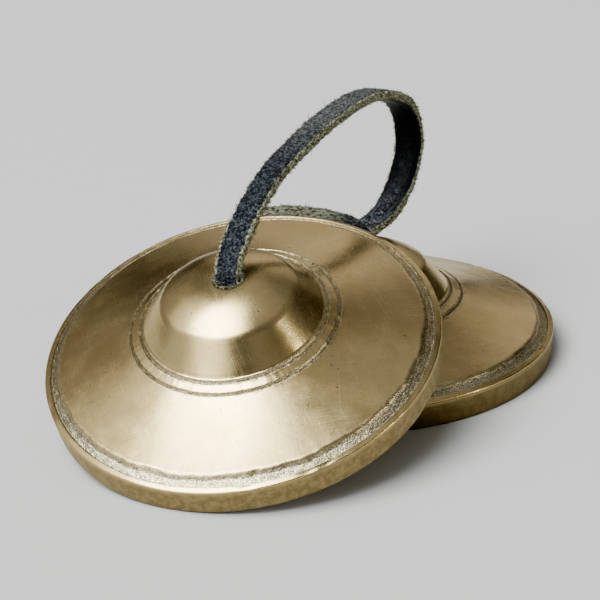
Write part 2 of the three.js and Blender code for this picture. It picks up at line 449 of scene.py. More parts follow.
# The cymbal's closed half section in millimetres, from the foot ring up the
# outside to the hole and back down the hollow. Each stretch is a Bezier curve:
# its control points, how many points to put on it, how raw the metal is there
# (1 in the groove and the engraved rings) and how cast (1 where it was left matt)
STRETCHES = [
    # the foot ring
    ([(26.6, 0.5), (26.65, 0.05), (27.0, 0.0)], 5, 0.0, 1.0),
    ([(27.0, 0.0), (31.6, 0.0)], 14, 0.0, 1.0),
    ([(31.6, 0.0), (32.1, 0.0), (32.14, 0.5)], 6, 0.0, 1.0),
    # the side wall
    ([(32.14, 0.5), (32.45, 4.2)], 16, 0.0, 1.0),
    # the raised lip
    ([(32.45, 4.2), (32.46, 4.42), (32.33, 4.46)], 4, 0.0, 0.6),
    ([(32.33, 4.46), (32.54, 4.48), (32.5, 4.64)], 5, 0.0, 0.0),
    ([(32.5, 4.64), (32.47, 4.79), (32.3, 4.88)], 6, 0.0, 0.0),
    ([(32.3, 4.88), (31.76, 5.16)], 9, 0.0, 0.0),
    # the groove inside it
    ([(31.76, 5.16), (31.6, 5.24), (31.56, 5.02)], 6, 0.4, 0.0),
    ([(31.56, 5.02), (31.47, 4.68), (31.2, 4.8)], 7, 1.0, 0.0),
    ([(31.2, 4.8), (30.35, 5.36)], 10, 1.0, 0.0),
    ([(30.35, 5.36), (30.2, 5.5), (30.08, 5.74)], 6, 1.0, 0.0),
    ([(30.08, 5.74), (29.95, 6.04), (29.5, 6.26)], 8, 0.45, 0.0),
    # the flange
    ([(29.5, 6.26), (22.3, 8.45), (17.38, 10.75)], 60, 0.0, 0.0),
    # the outer engraved ring
    ([(17.38, 10.75), (17.28, 10.8), (17.2, 10.64)], 4, 0.7, 0.0),
    ([(17.2, 10.64), (17.0, 10.32), (16.8, 10.82)], 7, 1.0, 0.0),
    ([(16.8, 10.82), (16.73, 11.06), (16.6, 11.12)], 4, 0.6, 0.0),
    # between the rings
    ([(16.6, 11.12), (15.62, 11.62)], 9, 0.0, 0.0),
    # the inner engraved ring
    ([(15.62, 11.62), (15.5, 11.68), (15.42, 11.52)], 4, 0.7, 0.0),
    ([(15.42, 11.52), (15.2, 11.17), (14.98, 11.7)], 7, 1.0, 0.0),
    ([(14.98, 11.7), (14.92, 11.96), (14.78, 12.02)], 4, 0.6, 0.0),
    # the boss and its crown
    ([(14.78, 12.02), (14.58, 12.14), (14.35, 12.5)], 8, 0.0, 0.0),
    ([(14.35, 12.5), (12.75, 14.6), (11.45, 16.2)], 20, 0.0, 0.0),
    ([(11.45, 16.2), (11.02, 16.78), (10.45, 17.18)], 12, 0.0, 0.0),
    ([(10.45, 17.18), (8.4, 18.48), (5.9, 19.72), (2.9, 19.99)], 40, 0.0, 0.0),
    # the hole
    ([(2.9, 19.99), (2.52, 20.0), (2.5, 19.6)], 6, 0.2, 0.0),
    ([(2.5, 19.6), (2.5, 17.75)], 7, 0.3, 1.0),
    ([(2.5, 17.75), (2.55, 17.5), (2.9, 17.5)], 4, 0.3, 1.0),
    # the hollow underside
    ([(2.9, 17.5), (6.8, 17.4), (9.6, 15.8), (10.4, 13.2)], 22, 0.0, 1.0),
    ([(10.4, 13.2), (11.4, 10.3), (15.4, 8.9)], 16, 0.0, 1.0),
    ([(15.4, 8.9), (21.4, 6.4), (24.4, 4.7)], 26, 0.0, 1.0),
    ([(24.4, 4.7), (26.2, 3.65), (26.6, 0.5)], 16, 0.0, 1.0),
]
KERNEL = np.array([1, 2, 1]) / 4   # softens the change from one finish to the next

# Unevenness of the metal, in millimetres: the sizes of three noises and how far
# each pushes the polished, the raw and the cast metal in or out
WAVE_SIZE, LUMP_SIZE, GRIT_SIZE = 9.0, 1.1, 0.55
WAVE_PUSH, RAW_LUMPS, RAW_GRIT, CAST_LUMPS = 0.025, 0.06, 0.045, 0.02
LIP_AT = (32.1, 4.9)          # the part of the section that the knocks below can reach
LIP_REACH = 0.5
FOOT_TOP = 0.45               # below this height only pushes inwards count,
FOOT_SHARE = 0.2              # and by this share

# How far the edges of the groove and of the engraved rings wander: size of the
# push in millimetres, and how many times it changes in a radian. Then the radius,
# reach and least height of each, and how much less the rings wander
WANDER = [(0.13, 9.0), (0.08, 40.0)]
GROOVE_AT, GROOVE_REACH, GROOVE_ABOVE = 29.95, 0.35, 4.75
RINGS_AT, RINGS_REACH, RINGS_ABOVE = 16.1, 1.5, 10
RINGS_SHARE = 0.45

# Small knocks on the outer edge: how many, half widths and depths in millimetres
RIM_RADIUS = 32.5
NICKS = 14
NICK_HALF = (0.5, 1.6)
NICK_DEPTH = (0.04, 0.13)

# Where the outside is darkened with painted shade, in its hollows: radius, height and reach, in
# millimetres
SHADED_HOLLOWS = [
    (31.46, 4.88, 0.19),      # behind the lip
    (32.36, 4.45, 0.10),      # in the crease under it
    (17.0, 10.5, 0.18),       # in the engraved rings
    (15.2, 11.35, 0.18),
]
OUTSIDE_ABOVE = 4.2
SHADOW_GAIN = 1.2              # how much more painted shade the cymbal in shadow gets in its hollows


def bezier(points, count):
    """count points along a Bezier curve, without its last point."""
    t = np.arange(count)[:, None] / count
    rows = [np.array(p, float) for p in points]
    while len(rows) > 1:
        rows = [a + (b - a) * t for a, b in zip(rows, rows[1:])]
    return rows[0]


def cymbal_section():
    """Points of the closed half section, how raw each point is and how cast."""
    points = np.concatenate([bezier(p, n) for p, n, _, _ in STRETCHES])
    raw = np.concatenate([np.full(n, r) for _, n, r, _ in STRETCHES])
    cast = np.concatenate([np.full(n, c) for _, n, _, c in STRETCHES])
    blur = [np.convolve(np.concatenate([v[-1:], v, v[:1]]), KERNEL, mode="valid")
            for v in (raw, cast)]
    return points, blur[0], blur[1]


def hollow_shading(section):
    """How much painted shade each point of the section gets in the hollows."""
    r, z = section.T
    shade_mask = sum(np.exp(-((r - a) ** 2 + (z - b) ** 2) / c ** 2) for a, b, c in SHADED_HOLLOWS)
    return np.clip(shade_mask, 0, 1) * (z > OUTSIDE_ABOVE)


def rim_nicks(rng):
    """Angle, half angle and depth of each small knock on a cymbal's outer edge."""
    return zip(rng.uniform(0, 2 * math.pi, NICKS), rng.uniform(*NICK_HALF, NICKS) / RIM_RADIUS,
               rng.uniform(*NICK_DEPTH, NICKS))


def pushed(section, raw, cast, turn, seed):
    """How far each point is pushed out of the turned shape, in millimetres."""
    r, z = section[:, :1], section[:, 1:]
    x, y = r * np.cos(turn), r * np.sin(turn)
    slow, lumps, grit = (noise_like(x.shape, x / size, y / size, z / size, seed=seed + k)
                         for k, size in enumerate((WAVE_SIZE, LUMP_SIZE, GRIT_SIZE)))
    push = (WAVE_PUSH * slow + raw[:, None] * (RAW_LUMPS * lumps + RAW_GRIT * grit)
            + cast[:, None] * CAST_LUMPS * lumps)
    lip = np.exp(-((r - LIP_AT[0]) / LIP_REACH) ** 2 - ((z - LIP_AT[1]) / LIP_REACH) ** 2)
    for angle, half, depth in rim_nicks(np.random.default_rng(seed)):
        away = np.angle(np.exp(1j * (turn - angle)))
        push = push - depth * lip * np.exp(-(away / half) ** 2)
    return np.where(z < FOOT_TOP, np.minimum(push, 0.0) * FOOT_SHARE, push)


def wandering(section, turn, seed):
    """How far the groove and the engraved rings wander outwards at each point, in millimetres."""
    r, z = section[:, :1], section[:, 1:]
    shape = (len(section), CYMBAL_SEGMENTS)
    wobble = sum(push * noise_like(shape, np.cos(turn) * often, np.sin(turn) * often, seed=seed + k)
                 for k, (push, often) in enumerate(WANDER, 3))
    near_groove = np.exp(-((r - GROOVE_AT) / GROOVE_REACH) ** 2) * (z > GROOVE_ABOVE)
    near_rings = np.exp(-((r - RINGS_AT) / RINGS_REACH) ** 2) * (z > RINGS_ABOVE)
    return wobble * (near_groove + RINGS_SHARE * near_rings)


def make_cymbal(name, place, shift, in_shadow, seed):
    section, raw, cast = cymbal_section()
    turn = np.arange(CYMBAL_SEGMENTS)[None, :] * 2 * math.pi / CYMBAL_SEGMENTS
    tangent = unit(np.roll(section, -1, axis=0) - np.roll(section, 1, axis=0))
    normal = np.stack([tangent[:, 1], -tangent[:, 0]], axis=1)
    push = pushed(section, raw, cast, turn, seed)
    radius = section[:, :1] + push * normal[:, :1] + wandering(section, turn, seed)
    height = section[:, 1:] + push * normal[:, 1:]
    off = 1 - smooth_step(HOLE_RADIUS + HOLE_BEVEL, HOLE_SHIFT_REACH, section[:, :1])
    local = np.stack([radius * np.cos(turn) + off * shift[0] / MM,
                      radius * np.sin(turn) + off * shift[1] / MM,
                      height], axis=-1).reshape(-1, 3)
    turned = np.array(place.to_3x3())
    piece = add_mesh(name, local @ turned.T * MM + np.array(place.translation),
                     grid_faces(len(section), CYMBAL_SEGMENTS, closed=True))
    # painted shade in the hollows, stronger on the cymbal that stands in shadow
    shade_mask = np.minimum(hollow_shading(section) * (1 + SHADOW_GAIN * in_shadow), 1)
    point_values(piece, "spot", local)
    point_values(piece, "in_shadow", np.full(len(local), in_shadow))
    for layer, values in (("raw", raw), ("shade_in_hollows", shade_mask), ("cast", cast)):
        point_values(piece, layer, np.repeat(values, CYMBAL_SEGMENTS))
    return piece


# ---- the knots inside the bosses --------------------------------------------

KNOT_WIDTH = 3.3 * MM
KNOT_THICKNESS = 1.7 * MM
KNOT_SPAN_POINTS = 40
NECK_LENGTH = 0.9               # millimetres that the end keeps straight into the hole
SQUEEZE_FROM = 1.5 * MM         # the lace narrows to the knot's width between these
SQUEEZE_TO = 6 * MM             # lengths from the hole
END_WIDTH = 0.98                # share of its width that the lace keeps inside a hole
END_CURL = 0.5 * MM             # how far its edges curl up there
END_FADE = 5 * MM               # length over which that fades away from the hole

# The knotted end of the lace from where it enters the hole, down through the hole and
# round an overhand knot to a short tail: x, y, z from the hole's axis and the cymbal's foot
KNOT_ROUTE = [
    (0.0, 0.0, 17.6),
    (0.3, 0.2, 16.0),
    (1.8, 0.8, 14.9),
    (3.2, 2.2, 14.6),
    (2.4, 3.6, 14.3),
    (0.2, 3.9, 13.6),
    (-2.2, 3.0, 13.0),
    (-3.6, 0.6, 13.1),
    (-3.0, -2.2, 13.9),
    (-0.6, -3.4, 14.6),
    (1.8, -2.6, 14.4),
    (2.4, -0.2, 13.2),
    (1.0, 2.0, 12.2),
    (-1.4, 2.6, 11.9),
    (-3.2, 0.8, 12.3),
    (-3.4, -2.0, 13.0),
    (-1.6, -4.0, 12.8),
    (0.8, -5.2, 11.8),
]

# The frayed leather squeezed against the top of the hole, in millimetres
HEM_FIBRES = 420
HEM_RADIUS = 2.32
HEM_SPREAD = 0.07
HEM_TOP = 19.86
HEM_LEAN = 0.5                  # how far its fibres lean outwards
HEM_STRAY = 0.45
HEM_LENGTH = (0.2, 0.55)


def hem_fibres(place, shift, rng):
    """A ring of short frayed fibres where the lace fills the hole."""
    turn = rng.uniform(0, 2 * math.pi, HEM_FIBRES)
    radius = HEM_RADIUS + rng.normal(0, HEM_SPREAD, HEM_FIBRES)
    flat = np.stack([np.cos(turn), np.sin(turn), 0 * turn], axis=1)
    root = flat * radius[:, None] + np.array([shift[0] / MM, shift[1] / MM, HEM_TOP])
    stray = HEM_STRAY * rng.normal(size=(HEM_FIBRES, 3))
    way = unit(flat * HEM_LEAN + np.array([0, 0, 1.0]) + stray)
    turned = np.array(place.to_3x3())
    points = spikes(root @ turned.T * MM + np.array(place.translation), way @ turned.T,
                    rng.uniform(*HEM_LENGTH, HEM_FIBRES) * MM, rng)
    share = np.full(HEM_FIBRES, CUT_EDGES[0])
    return {"s": np.zeros(HEM_FIBRES), "share": share, "points": points}


def carried_across(first, along):
    """The way across at each point of a curve, carried along it from the first without twist."""
    across = [first]
    for way in along[1:]:
        level = across[-1] - np.dot(across[-1], way) * way
        across.append(level / np.linalg.norm(level))
    return np.array(across)


def make_knot(name, place, shift, end, seed, rng):
    """The knotted end of the lace. end is its place, way down and way across at the hole."""
    inward = place.inverted()
    turn_in = inward.to_3x3()
    start = inward @ Vector(end[0]) / MM - Vector((shift[0], shift[1], 0)) / MM
    down = (turn_in @ Vector(end[1])).normalized()
    points = [tuple(start), tuple(start + down * NECK_LENGTH)] + KNOT_ROUTE
    curve = centripetal(np.array(points, float), KNOT_SPAN_POINTS)
    across = carried_across(np.array(turn_in @ Vector(end[2])), unit(np.gradient(curve, axis=0)))
    turned = np.array(place.to_3x3())
    shifted = curve + np.array([shift[0], shift[1], 0.0]) / MM
    centre = shifted @ turned.T * MM + np.array(place.translation)
    strip = Strip(centre, across @ turned.T, STRIP_STEP)
    squeeze = smooth_step(SQUEEZE_FROM, SQUEEZE_TO, strip.s)
    wide = LACE_WIDTH * END_WIDTH + (KNOT_WIDTH - LACE_WIDTH * END_WIDTH) * squeeze
    thick = LACE_THICKNESS + (KNOT_THICKNESS - LACE_THICKNESS) * squeeze
    skin = strip_surface(strip, wide, thick, END_CURL * (1 - squeeze), seed)
    fuzz = grow_fibres(strip, skin, FIBRES_PER_MM / 2, rng)
    hem = hem_fibres(place, shift, rng)
    fuzz = {key: np.concatenate([fuzz[key], hem[key]]) for key in fuzz}
    return strip_mesh(name, strip, skin, 0.0, strip.length, fuzz)


# ---- the lace ---------------------------------------------------------------

FAR_STRAND = (60 * MM, 74 * MM)    # where the lace starts to be wider
FAR_WIDER = 0.14
CURL_WANDER = 0.12 * MM            # how far the curl of its edges changes along it
CURL_WANDER_SIZE = 9 * MM
CURL_SEED = 9


def lace_skin(seed):
    s = LACE.s
    ends = np.exp(-s / END_FADE) + np.exp(-(LACE.length - s) / END_FADE)
    ends = np.minimum(ends, 1)
    wide = LACE_WIDTH * (1 + FAR_WIDER * smooth_step(*FAR_STRAND, s))
    wide = wide * (1 - (1 - END_WIDTH) * ends)
    thick = np.full(len(s), LACE_THICKNESS)
    wander = CURL_WANDER * noise_like(s.shape, s / CURL_WANDER_SIZE, seed=seed + CURL_SEED)
    return strip_surface(LACE, wide, thick, END_CURL * ends + wander, seed)


# ---- materials --------------------------------------------------------------


def grey(value):
    return (value,) * 3


class Nodes:
    """Short hand for building a material's nodes."""

    def __init__(self, name):
        self.material = bpy.data.materials.new(name)
        self.material.use_nodes = True
        self.tree = self.material.node_tree
        self.shader = self.tree.nodes["Principled BSDF"]

    def add(self, kind, **settings):
        node = self.tree.nodes.new(kind)
        for key, value in settings.items():
            setattr(node, key, value)
        return node

    def feed(self, socket, value):
        if isinstance(value, bpy.types.NodeSocket):
            self.tree.links.new(value, socket)
        elif isinstance(value, tuple) and len(value) == 3 and len(socket.default_value) == 4:
            socket.default_value = (*value, 1.0)
        else:
            socket.default_value = value

    def number(self, name):
        return self.add("ShaderNodeAttribute", attribute_name=name).outputs["Fac"]

    def vector(self, name):
        return self.add("ShaderNodeAttribute", attribute_name=name).outputs["Vector"]

    def here(self):
        return self.add("ShaderNodeTexCoord").outputs["Object"]

    def stretched(self, vector, size, turn=(0, 0, 0)):
        """Coordinates in which one unit is size long, after a turn."""
        node = self.add("ShaderNodeMapping", vector_type="TEXTURE")
        self.feed(node.inputs["Vector"], vector)
        node.inputs["Rotation"].default_value = turn
        node.inputs["Scale"].default_value = size
        return node.outputs["Vector"]

    def noise(self, vector, scale, detail=3.0, rough=0.55, twist=0.0):
        node = self.add("ShaderNodeTexNoise")
        self.feed(node.inputs["Vector"], vector)
        for name, value in (("Scale", scale), ("Detail", detail), ("Roughness", rough),
                            ("Distortion", twist)):
            node.inputs[name].default_value = value
        return node.outputs["Fac"]

    def span(self, value, low, high, at_low=0.0, at_high=1.0):
        """Smooth change from at_low to at_high as value goes from low to high."""
        node = self.add("ShaderNodeMapRange", interpolation_type="SMOOTHSTEP")
        self.feed(node.inputs["Value"], value)
        for name, number in (("From Min", low), ("From Max", high), ("To Min", at_low),
                             ("To Max", at_high)):
            self.feed(node.inputs[name], number)
        return node.outputs["Result"]

    def patches(self, vector, scale, low, high, at_low=0.0, at_high=1.0, **noise):
        """Noise as patches: at_low where it is under low, at_high where it is over high."""
        return self.span(self.noise(vector, scale, **noise), low, high, at_low, at_high)

    def mix(self, share, a, b):
        node = self.add("ShaderNodeMix", data_type="RGBA")
        self.feed(node.inputs["Factor"], share)
        self.feed(node.inputs["A"], a)
        self.feed(node.inputs["B"], b)
        return node.outputs["Result"]

    def tint(self, where, strength, a, b):
        """a, tinted with b by up to strength where the share where is 1."""
        return self.mix(self.maths("MULTIPLY", where, strength), a, b)

    def maths(self, operation, a, b=0.0, c=0.0):
        node = self.add("ShaderNodeMath", operation=operation)
        for socket, value in zip(node.inputs, (a, b, c)):
            self.feed(socket, value)
        return node.outputs["Value"]

    def bump(self, height, distance):
        node = self.add("ShaderNodeBump")
        node.inputs["Strength"].default_value = 1.0
        node.inputs["Distance"].default_value = distance
        self.feed(node.inputs["Height"], height)
        return node.outputs["Normal"]


BRONZE = (0.60, 0.455, 0.215)
BRONZE_BROWN = (0.45, 0.31, 0.115)
BRONZE_GRAZING = (0.93, 0.88, 0.77)
WALL_PALE = (0.30, 0.225, 0.10)
WALL_DARK = (0.20, 0.142, 0.058)
# painted shadow on the side wall of the cymbal that stands in shadow
WALL_SHADOWED = (0.07, 0.048, 0.018)
SCRATCH_PALE = (0.78, 0.66, 0.42)
PIT = (0.12, 0.08, 0.04)
GROOVE_DARK = (0.14, 0.11, 0.06)
GROOVE_PALE = (0.76, 0.66, 0.44)
# painted shade in the hollows behind the lip and in the engraved rings
HOLLOW_SHADE_COLOUR = (0.07, 0.05, 0.025)

# Noises of the bronze, scaled for millimetres. low and high are where each sets in and is full
CLOUD = {"scale": 0.09, "detail": 4.0, "low": 0.40, "high": 0.66}
MOTTLE = {"scale": 0.55, "detail": 5.0, "rough": 0.65, "low": 0.36, "high": 0.70}
PITS = {"scale": 1.9, "detail": 1.0, "low": 0.735, "high": 0.765}
BLOTCH = {"scale": 0.75, "detail": 5.0, "rough": 0.7, "low": 0.40, "high": 0.62}
SPARKLE = {"scale": 3.8, "detail": 3.0, "rough": 0.8, "low": 0.40, "high": 0.62}
SATIN = {"scale": 0.16, "detail": 5.0, "low": 0.34, "high": 0.70, "at_low": 0.14, "at_high": 0.22}
TOOTH = {"scale": 3.4, "detail": 3.0, "rough": 0.75}
SKIN = {"scale": 1.7, "detail": 4.0, "rough": 0.6}
WAVES = {"scale": 0.30, "detail": 2.0}
BROWN_TOOTH = (0.42, 0.68)                # the part of the tooth that is tinted brown
SHADE_ON_TOOTH = (0.30, 0.55, 0.95, 0.55)  # the painted shade thins from 0.95 to 0.55 as the tooth rises

# How strongly each of them tints the metal
CLOUD_TINT, MOTTLE_TINT, TOOTH_TINT = 0.45, 0.20, 0.42
# the last is the strength of the painted shadow on the shaded cymbal's side wall
LINE_TINT, PIT_TINT, SHADOW_TINT = 0.22, 0.8, 0.6

# Roughness of the cast and of the raw metal, and what scratches and tooth add to the rest
CAST_ROUGHNESS, RAW_ROUGHNESS = 0.46, 0.30
LINE_ROUGHNESS, TOOTH_ROUGHNESS = 0.05, 0.14

# Height of the bump, and what each noise adds to it
BRONZE_BUMP = 0.012 * MM
LINE_BUMP, TOOTH_BUMP, WAVE_BUMP = -0.09, 0.42, 2.5
RAW_BUMP, CAST_BUMP = 6.5, 4.0

# Sets of fine scratches: their angle on the cymbal in radians, length and width in millimetres,
# how rare they are, and how wide the patches are that they lie in
SCRATCHES = [
    (0.75, 9.0, 0.10, 0.60, 15.0),
    (0.55, 5.0, 0.07, 0.585, 9.0),
    (-0.95, 8.0, 0.09, 0.615, 12.0),
    (2.2, 16.0, 0.13, 0.66, 22.0),
    (0.35, 26.0, 0.09, 0.69, 30.0),
]
SCRATCH_EDGE = 0.09
SCRATCH_PATCH = (0.42, 0.62)


def scratches(n, spot, angle, long, thin, rare, patch):
    """Fine straight lines across the cymbal at one angle, in patches."""
    turn = (0, 0, angle)
    line = n.noise(n.stretched(spot, (long, thin, long), turn), 1.0, detail=2.0)
    where = n.noise(n.stretched(spot, (patch, patch, patch), turn), 1.0, detail=1.0)
    lines = n.span(line, rare, rare + SCRATCH_EDGE)
    return n.maths("MULTIPLY", lines, n.span(where, *SCRATCH_PATCH))


def bronze():
    n = Nodes("bronze")
    spot, raw, cast = n.vector("spot"), n.number("raw"), n.number("cast")
    tooth = n.noise(spot, **TOOTH)
    lines = 0.0
    for one in SCRATCHES:
        lines = n.maths("ADD", scratches(n, spot, *one), lines)

    face = n.tint(n.patches(spot, **CLOUD), CLOUD_TINT, BRONZE, BRONZE_BROWN)
    face = n.tint(n.patches(spot, **MOTTLE), MOTTLE_TINT, face, BRONZE_BROWN)
    face = n.tint(n.span(tooth, *BROWN_TOOTH), TOOTH_TINT, face, BRONZE_BROWN)
    face = n.tint(lines, LINE_TINT, face, SCRATCH_PALE)
    face = n.tint(n.patches(spot, **PITS), PIT_TINT, face, PIT)
    wall = n.mix(n.patches(spot, **BLOTCH), WALL_DARK, WALL_PALE)
    # painted shadow: the shaded cymbal's side wall is darkened
    wall = n.tint(n.number("in_shadow"), SHADOW_TINT, wall, WALL_SHADOWED)
    sparkle = n.mix(n.patches(spot, **SPARKLE), GROOVE_DARK, GROOVE_PALE)
    whole = n.mix(raw, n.mix(cast, face, wall), sparkle)
    # painted shade in the hollows, made patchy by the tooth
    shade_mask = n.maths("MULTIPLY", n.number("shade_in_hollows"), n.span(tooth, *SHADE_ON_TOOTH))
    n.feed(n.shader.inputs["Base Color"], n.mix(shade_mask, whole, HOLLOW_SHADE_COLOUR))
    n.shader.inputs["Metallic"].default_value = 1.0
    n.shader.inputs["Specular Tint"].default_value = (*BRONZE_GRAZING, 1.0)

    satin = n.maths("MULTIPLY_ADD", lines, LINE_ROUGHNESS, n.patches(spot, **SATIN))
    satin = n.maths("MULTIPLY_ADD", tooth, TOOTH_ROUGHNESS, satin)
    gloss = n.mix(cast, satin, grey(CAST_ROUGHNESS))
    n.feed(n.shader.inputs["Roughness"], n.mix(raw, gloss, grey(RAW_ROUGHNESS)))

    polished = n.maths("SUBTRACT", 1.0, n.maths("MAXIMUM", raw, cast))
    height = n.maths("MULTIPLY", n.maths("MULTIPLY", lines, polished), LINE_BUMP)
    toothed = n.maths("MULTIPLY_ADD", raw, RAW_BUMP, TOOTH_BUMP)
    height = n.maths("MULTIPLY_ADD", tooth, toothed, height)
    lumpy = n.maths("MULTIPLY", cast, CAST_BUMP)
    height = n.maths("MULTIPLY_ADD", n.noise(spot, **SKIN), lumpy, height)
    height = n.maths("MULTIPLY_ADD", n.noise(spot, **WAVES), WAVE_BUMP, height)
    n.feed(n.shader.inputs["Normal"], n.bump(height, BRONZE_BUMP))
    return n.material


SUEDE_DARK = (0.004, 0.005, 0.008)
SUEDE_PALE = (0.080, 0.086, 0.090)
# painted sheen on the top of the arch
SUEDE_SHEEN = (0.135, 0.138, 0.130)
SUEDE_SHEEN_DARK = (0.012, 0.013, 0.015)
# painted sheen on the suede behind the front cymbal
BAND_SHEEN_DARK = (0.010, 0.010, 0.008)
BAND_SHEEN_PALE = (0.150, 0.143, 0.100)
EDGE_DARK = (0.018, 0.017, 0.009)
EDGE_PALE = (0.42, 0.41, 0.28)
GRAIN_BLACK = (0.0015, 0.0015, 0.002)
GRAIN_GREY = (0.004, 0.004, 0.005)
# painted sheen on the smooth side past the arch
GRAIN_SHEEN = (0.095, 0.104, 0.122)

# Stretches of the lace that look different: where each sets in and is full,
# and where it starts to fade and is gone, in millimetres along the lace
ARCH_SHEEN_FROM, ARCH_SHEEN_TO = (22.0, 44.0), (84.0, 66.0)      # the top of the arch, painted paler as a sheen
BAND_LIGHT_FROM, BAND_LIGHT_TO = (122.0, 134.0), (152.0, 144.0)    # painted sheen on the suede and painted shadow on the cut edges, behind the front cymbal
GRAIN_SHEEN_FROM = (86.0, 98.0)                              # painted sheen on the smooth side past the arch
WORN_FROM = (3.0, 16.0)                                  # the hole, where the edges are wider
WORN_EDGE = -0.20

# Noises of the suede and the cut edges, scaled for metres, and of the smooth side's
# wrinkles, scaled for millimetres
NAP = {"scale": 2700.0, "detail": 5.0, "rough": 0.74}
FLECKS = {"scale": 1300.0, "detail": 4.0, "rough": 0.7}
FLECKS_SHARE, NAP_SHARE = 0.30, 0.70
EDGE_WANDER = {"scale": 1100.0, "detail": 2.0, "low": 0.2, "high": 0.8,
               "at_low": -0.16, "at_high": 0.16}
FURROW = {"scale": 2.4, "detail": 4.0, "rough": 0.65, "twist": 1.2}
CREASE = {"scale": 5.0, "detail": 4.0, "rough": 0.65, "twist": 1.8}
WRINKLE_STRETCH = 0.28

# The values between which each noise changes the colour
SUEDE_FLECKS = (0.45, 0.66)
PALE_FLECKS = (0.42, 0.64)
BAND_SHEEN_FLECKS = (0.40, 0.56)
EDGE_FLECKS = (0.42, 0.62)
GRAIN_CREASE = (0.35, 0.75)
SHEEN_CREASE = (0.47, 0.62)

# Where the suede begins, and where the cut edge ends towards the suede and the smooth
# side: 1 is the middle of the suede side, -1 the middle of the smooth side
SUEDE_BEGINS = (0.30, 0.52)
EDGE_BY_SUEDE = (0.70, 0.44)
EDGE_BY_GRAIN = (-0.62, -0.40)
SUEDE_ROUGHNESS, GRAIN_ROUGHNESS = 0.95, 0.42
LEATHER_SPECULAR = 0.05
LEATHER_BUMP = 0.22 * MM
FURROW_BUMP = 2.2


def leather():
    n = Nodes("leather")
    here = n.here()
    side, along = n.number("suede"), n.number("lengthwise")
    nap, blotch = n.noise(here, **NAP), n.noise(here, **FLECKS)
    fleck = n.maths("MULTIPLY_ADD", blotch, FLECKS_SHARE, n.maths("MULTIPLY", nap, NAP_SHARE))
    # painted sheen on the top of the arch
    arch_sheen = n.maths("MULTIPLY", n.span(along, *ARCH_SHEEN_FROM), n.span(along, *ARCH_SHEEN_TO))
    # painted sheen on the suede and painted shadow on the cut edges behind the front cymbal
    band_sheen_and_shadow = n.maths("MULTIPLY", n.span(along, *BAND_LIGHT_FROM), n.span(along, *BAND_LIGHT_TO))
    drawn = n.add("ShaderNodeCombineXYZ")
    n.feed(drawn.inputs[0], n.maths("MULTIPLY", along, WRINKLE_STRETCH))
    n.feed(drawn.inputs[1], n.number("crosswise"))
    furrow = n.noise(drawn.outputs["Vector"], **FURROW)
    crease = n.noise(drawn.outputs["Vector"], **CREASE)
    shifted = n.maths("ADD", side, n.patches(here, **EDGE_WANDER))
    shifted = n.maths("ADD", shifted, n.span(along, *WORN_FROM, WORN_EDGE, 0.0))
    on_suede = n.span(shifted, *SUEDE_BEGINS)
    on_edge = n.maths("MULTIPLY", n.span(shifted, *EDGE_BY_SUEDE), n.span(side, *EDGE_BY_GRAIN))

    suede = n.mix(n.span(fleck, *SUEDE_FLECKS), SUEDE_DARK, SUEDE_PALE)
    pale = n.mix(n.span(fleck, *PALE_FLECKS), SUEDE_SHEEN_DARK, SUEDE_SHEEN)
    band_sheen = n.mix(n.span(blotch, *BAND_SHEEN_FLECKS), BAND_SHEEN_DARK, BAND_SHEEN_PALE)
    suede = n.mix(band_sheen_and_shadow, n.mix(arch_sheen, suede, pale), band_sheen)
    grain = n.mix(n.span(crease, *GRAIN_CREASE), GRAIN_BLACK, GRAIN_GREY)
    # painted sheen on the smooth side past the arch, broken up by its creases
    smooth_sheen = n.maths("MULTIPLY", n.span(along, *GRAIN_SHEEN_FROM), n.span(crease, *SHEEN_CREASE))
    grain = n.mix(smooth_sheen, grain, GRAIN_SHEEN)
    edge = n.mix(n.span(fleck, *EDGE_FLECKS), EDGE_DARK, EDGE_PALE)
    # painted shadow: the cut edges behind the front cymbal go dark
    edge = n.mix(band_sheen_and_shadow, edge, SUEDE_DARK)
    n.feed(n.shader.inputs["Base Color"], n.mix(on_edge, n.mix(on_suede, grain, suede), edge))

    matt = n.mix(on_suede, grey(GRAIN_ROUGHNESS), grey(SUEDE_ROUGHNESS))
    n.feed(n.shader.inputs["Roughness"], n.mix(on_edge, matt, grey(SUEDE_ROUGHNESS)))
    n.shader.inputs["Specular IOR Level"].default_value = LEATHER_SPECULAR
    height = n.mix(on_suede, n.maths("MULTIPLY", furrow, FURROW_BUMP), nap)
    n.feed(n.shader.inputs["Normal"], n.bump(height, LEATHER_BUMP))
    return n.material


FLOOR_COLOUR = (0.45, 0.445, 0.43)
FLOOR_ROUGHNESS = 0.85


def floor_material():
    n = Nodes("floor")
    n.shader.inputs["Base Color"].default_value = (*FLOOR_COLOUR, 1.0)
    n.shader.inputs["Roughness"].default_value = FLOOR_ROUGHNESS
    return n.material


# ---- the studio -------------------------------------------------------------

COOL = (0.95, 1.0, 1.0)
PLAIN = (1.0, 0.98, 0.94)
WARM = (1.0, 0.92, 0.78)
STRAW = (1.0, 1.0, 0.82)
AMBIENT = 0.075

# Soft patches of light in the surroundings: azimuth and elevation of the middle, the
# angles at which the patch is gone and up to which it is full, colour and strength
GLOWS = [
    (-130, 57, 28, 11, COOL, 25.0),
    (-84, 42, 26, 3, COOL, 2.0),
    (-140, 16, 27, 6, COOL, 5.6),
    (-115, 14, 46, 8, COOL, 1.3),
    (-60, 20, 42, 5, PLAIN, 0.5),
    (6, 26, 22, 4, PLAIN, 1.2),
    (28, 26, 22, 4, PLAIN, 0.7),
    (10, 56, 34, 4, PLAIN, 0.35),
    (108, 50, 36, 5, PLAIN, 0.30),
    (156, 16, 26, 4, PLAIN, 0.40),
    (180, 70, 40, 8, COOL, 0.10),
    (80, 82, 32, 4, COOL, 0.45),
]

